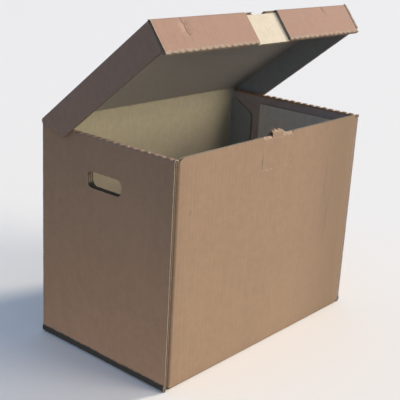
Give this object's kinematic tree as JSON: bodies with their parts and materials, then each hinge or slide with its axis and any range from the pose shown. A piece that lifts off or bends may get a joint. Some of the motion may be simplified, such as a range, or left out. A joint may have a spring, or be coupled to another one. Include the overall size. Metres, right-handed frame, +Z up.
{
  "type": "archive transfer box",
  "caption": "Tall corrugated-board archive box with double side walls, hand holes and a flap lid that locks with a tab in the front wall.",
  "frame": {"origin": "centre of the footprint, on the surface the box stands on", "axes": "+X right as seen from the front, front wall faces -Y, lid hinged on the +Y wall, +Z up"},
  "size_m": [0.4512, 0.259, 0.5039],
  "materials": {
    "brown_liner": "matt brown test liner on C-flute corrugated board",
    "cream_liner": "matt mottled cream liner on C-flute corrugated board"
  },
  "bodies": {
    "body": {"base_panel": "cream_liner", "front_panel": "brown_liner", "back_panel": "brown_liner", "lid_crease": "brown_liner", "left_outer_wall": "brown_liner", "left_top_hem": "brown_liner", "left_inner_wall": "brown_liner", "front_left_tab": "cream_liner", "rear_left_tab": "cream_liner", "right_outer_wall": "brown_liner", "right_top_hem": "brown_liner", "right_inner_wall": "brown_liner", "front_right_tab": "cream_liner", "rear_right_tab": "cream_liner"},
    "lid": {"lid_top_panel": "brown_liner", "lid_front_inner": "cream_liner", "lid_left_flange": "brown_liner", "lid_left_corner_tab": "cream_liner", "lid_front_flange_left": "brown_liner", "lid_front_hem_left": "brown_liner", "lid_right_flange": "brown_liner", "lid_right_corner_tab": "cream_liner", "lid_front_flange_right": "brown_liner", "lid_front_hem_right": "brown_liner"},
    "lock_tab": {"lock_tab": "brown_liner"},
    "lock_tongue": {"lock_tongue": "brown_liner"}
  },
  "joints": [
    {"name": "lid_hinge", "type": "hinge", "parent": "body", "child": "lid", "pos_m": [0, 0.1295, 0.3373], "axis": [-1, 0, 0], "range_deg": [-38.5, 223.5]},
    {"name": "lock_tab_fold", "type": "hinge", "parent": "body", "child": "lock_tab", "pos_m": [0, -0.1295, 0.2836], "axis": [1, 0, 0], "range_deg": [0, 170]},
    {"name": "lock_tongue_fold", "type": "hinge", "parent": "lock_tab", "child": "lock_tongue", "pos_m": [0, -0.1295, 0.3329], "axis": [1, 0, 0], "range_deg": [0, 90]}
  ]
}
